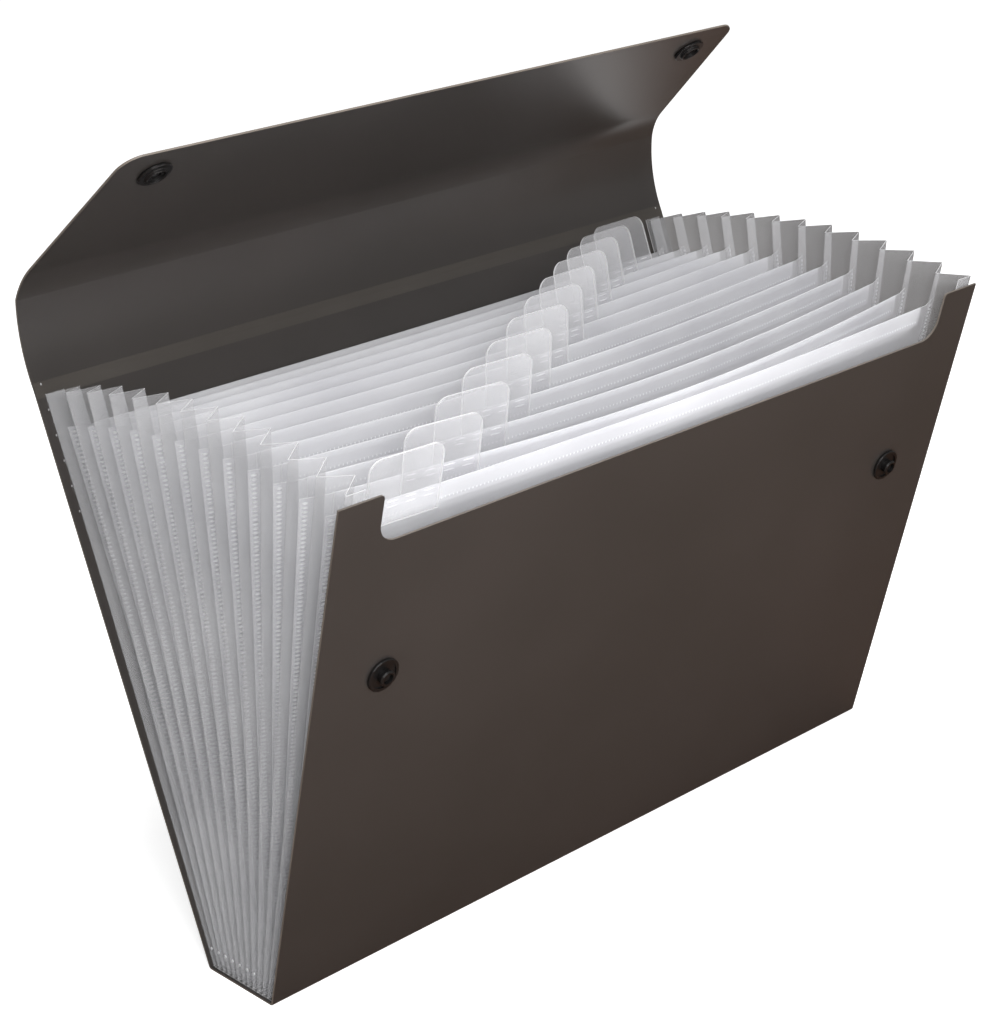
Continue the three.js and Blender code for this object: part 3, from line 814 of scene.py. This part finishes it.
def makeCamera():
    azimuth, elevation, roll = [math.radians(view[key]) for key in ("azimuth", "elevation", "roll")]
    back = Vector((-math.sin(azimuth) * math.cos(elevation), -math.cos(azimuth) * math.cos(elevation),
                   math.sin(elevation)))
    right = Vector((0, 0, 1)).cross(back).normalized()
    up = back.cross(right)
    rolledRight = right * math.cos(roll) + up * math.sin(roll)
    rolledUp = up * math.cos(roll) - right * math.sin(roll)
    target = Vector((0, 0, view["targetHeight"])) + rolledRight * view["right"] + rolledUp * view["up"]
    camera = bpy.data.objects.new("camera", bpy.data.cameras.new("camera"))
    bpy.context.scene.collection.objects.link(camera)
    turn = Matrix((rolledRight, rolledUp, back)).transposed()
    camera.rotation_euler = turn.to_euler()
    camera.location = (target + back * view["distance"]) * mm
    longSide = view["imageHeight"]
    camera.data.lens = view["focal"] * camera.data.sensor_width / longSide
    camera.data.shift_x = -(view["centreX"] - view["imageWidth"] / 2) / longSide
    camera.data.shift_y = (view["centreY"] - view["imageHeight"] / 2) / longSide
    camera.data.clip_start = 0.01
    bpy.context.scene.camera = camera


def areaLamp(name, place, aim, size, power, spread):
    data = bpy.data.lights.new(name, "AREA")
    data.size = size
    data.energy = power
    data.spread = math.radians(spread)
    lamp = bpy.data.objects.new(name, data)
    bpy.context.scene.collection.objects.link(lamp)
    lamp.location = place
    lamp.rotation_euler = (Vector(aim) - Vector(place)).to_track_quat("-Z", "Y").to_euler()


# The colour seen through the film is painted shade, the brown seen in gloss is a painted reflection, and the
# glowing patch is a painted highlight
backdrop = {
    "floor": "#f2f2f2", "paintedShadeThroughFilm": "#41382f", "paintedReflectionInGloss": "#6c4424", "lift": 0.65, "sky": 0.4,
    "patchLeft": (0.22, 0.28), "patchRight": (0.38, 0.42), "patchFront": (0.05, 0.14), "paintedHighlightGlow": 1.0,
}


# How the camera sees the backdrop: straight, or through at least one film
def viewPaths(tree):
    path = addNode(tree, "ShaderNodeLightPath")
    behind = addNode(tree, "ShaderNodeMath", {"operation": "GREATER_THAN"}, {1: 0.5},
                     {0: path.outputs["Transparent Depth"]})
    filmed = addNode(tree, "ShaderNodeMath", {"operation": "MULTIPLY"}, None,
                     {0: path.outputs["Is Camera Ray"], 1: behind.outputs["Value"]})
    direct = addNode(tree, "ShaderNodeMath", {"operation": "SUBTRACT"}, None,
                     {0: path.outputs["Is Camera Ray"], 1: filmed.outputs["Value"]})
    return path, direct.outputs["Value"], filmed.outputs["Value"]


def edgeOf(tree, along, ends, low, high):
    return addNode(tree, "ShaderNodeMapRange", None,
                   {"From Min": ends[0], "From Max": ends[1], "To Min": low, "To Max": high},
                   {"Value": along}).outputs["Result"]


def makeFloor():
    mesh = bpy.data.meshes.new("floor")
    mesh.from_pydata([(-3, -3, 0), (3, -3, 0), (3, 3, 0), (-3, 3, 0)], [], [(0, 1, 2, 3)])
    floor = bpy.data.objects.new("floor", mesh)
    bpy.context.scene.collection.objects.link(floor)
    material, tree, shader = newMaterial("Pale matt floor")
    shader.inputs["Roughness"].default_value = 0.9
    # The camera sees the floor brighter than it is, up to white; the object gets none of that light.
    # Seen through the film it is painted darker and warmer: painted shade. In the cover's gloss it is
    # painted brown, a painted reflection, and one patch of it glows for glossy rays only: a painted
    # highlight on the flap.
    path, direct, filmed = viewPaths(tree)
    # Seen through the film the floor takes a darker, warmer colour: painted shade
    tone = addNode(tree, "ShaderNodeMix", {"data_type": "RGBA"},
                   {6: colour(backdrop["floor"]), 7: colour(backdrop["paintedShadeThroughFilm"])}, {0: filmed})
    place = addNode(tree, "ShaderNodeTexCoord").outputs["Object"]
    axes = addNode(tree, "ShaderNodeSeparateXYZ", None, None, {"Vector": place})
    # A patch of floor for the flap's highlight: it is painted floor colour in gloss, not brown
    patch = edgeOf(tree, axes.outputs["Y"], backdrop["patchFront"], 0, 1)
    for side, low, high in (("patchLeft", 0, 1), ("patchRight", 1, 0)):
        edge = edgeOf(tree, axes.outputs["X"], backdrop[side], low, high)
        patch = addNode(tree, "ShaderNodeMath", {"operation": "MULTIPLY"}, None,
                        {0: patch, 1: edge}).outputs["Value"]
    # In gloss the floor is painted brown outside the patch: a painted reflection in the cover
    paintedGlossTone = addNode(tree, "ShaderNodeMix", {"data_type": "RGBA"},
                   {6: colour(backdrop["paintedReflectionInGloss"]), 7: colour(backdrop["floor"])}, {0: patch})
    gloss = addNode(tree, "ShaderNodeMix", {"data_type": "RGBA"}, None,
                    {0: path.outputs["Is Glossy Ray"], 6: tone.outputs[2], 7: paintedGlossTone.outputs[2]})
    tree.links.new(gloss.outputs[2], shader.inputs["Base Color"])
    # The patch glows for glossy rays only: a painted highlight on the flap
    seen = addNode(tree, "ShaderNodeMath", {"operation": "MULTIPLY"}, None,
                   {0: path.outputs["Is Glossy Ray"], 1: patch})
    glow = addNode(tree, "ShaderNodeMath", {"operation": "MULTIPLY"}, {1: backdrop["paintedHighlightGlow"]},
                   {0: seen.outputs["Value"]})
    lift = addNode(tree, "ShaderNodeMath", {"operation": "MULTIPLY_ADD"}, {1: backdrop["lift"]},
                   {0: direct, 2: glow.outputs["Value"]})
    shader.inputs["Emission Color"].default_value = colour("#ffffff")
    tree.links.new(lift.outputs["Value"], shader.inputs["Emission Strength"])
    mesh.materials.append(material)


def makeWorld():
    world = bpy.data.worlds.new("studio")
    world.use_nodes = True
    tree = world.node_tree
    tree.nodes.clear()
    direct, filmed = viewPaths(tree)[1:]
    sky = addNode(tree, "ShaderNodeBackground", None,
                  {"Color": colour("#ffffff"), "Strength": backdrop["sky"]})
    white = addNode(tree, "ShaderNodeBackground", None, {"Color": colour("#ffffff"), "Strength": 1.0})
    # Seen through the film the world is painted the same dark warm colour: painted shade
    paintedShadeBackground = addNode(tree, "ShaderNodeBackground", None,
                  {"Color": colour(backdrop["paintedShadeThroughFilm"]), "Strength": 1.0})
    bare = addNode(tree, "ShaderNodeMixShader", None, None,
                   {0: direct, 1: sky.outputs["Background"], 2: white.outputs["Background"]})
    both = addNode(tree, "ShaderNodeMixShader", None, None,
                   {0: filmed, 1: bare.outputs["Shader"], 2: paintedShadeBackground.outputs["Background"]})
    addNode(tree, "ShaderNodeOutputWorld", None, None, {"Surface": both.outputs["Shader"]})
    bpy.context.scene.world = world


makeCamera()
makeFloor()
makeWorld()
areaLamp("keyLamp", (-0.5, -0.8, 0.62), (0, 0, 0.2), 0.35, 9, 180)
areaLamp("topLamp", (0.0, -0.35, 1.35), (0, 0, 0.2), 0.7, 9, 180)
areaLamp("frontLamp", (0.0, -1.1, 0.1), (0.0, 0.05, 0.36), 0.5, 1.5, 50)
bpy.context.scene.view_settings.view_transform = "Standard"
print("camera, floor and lamps set")
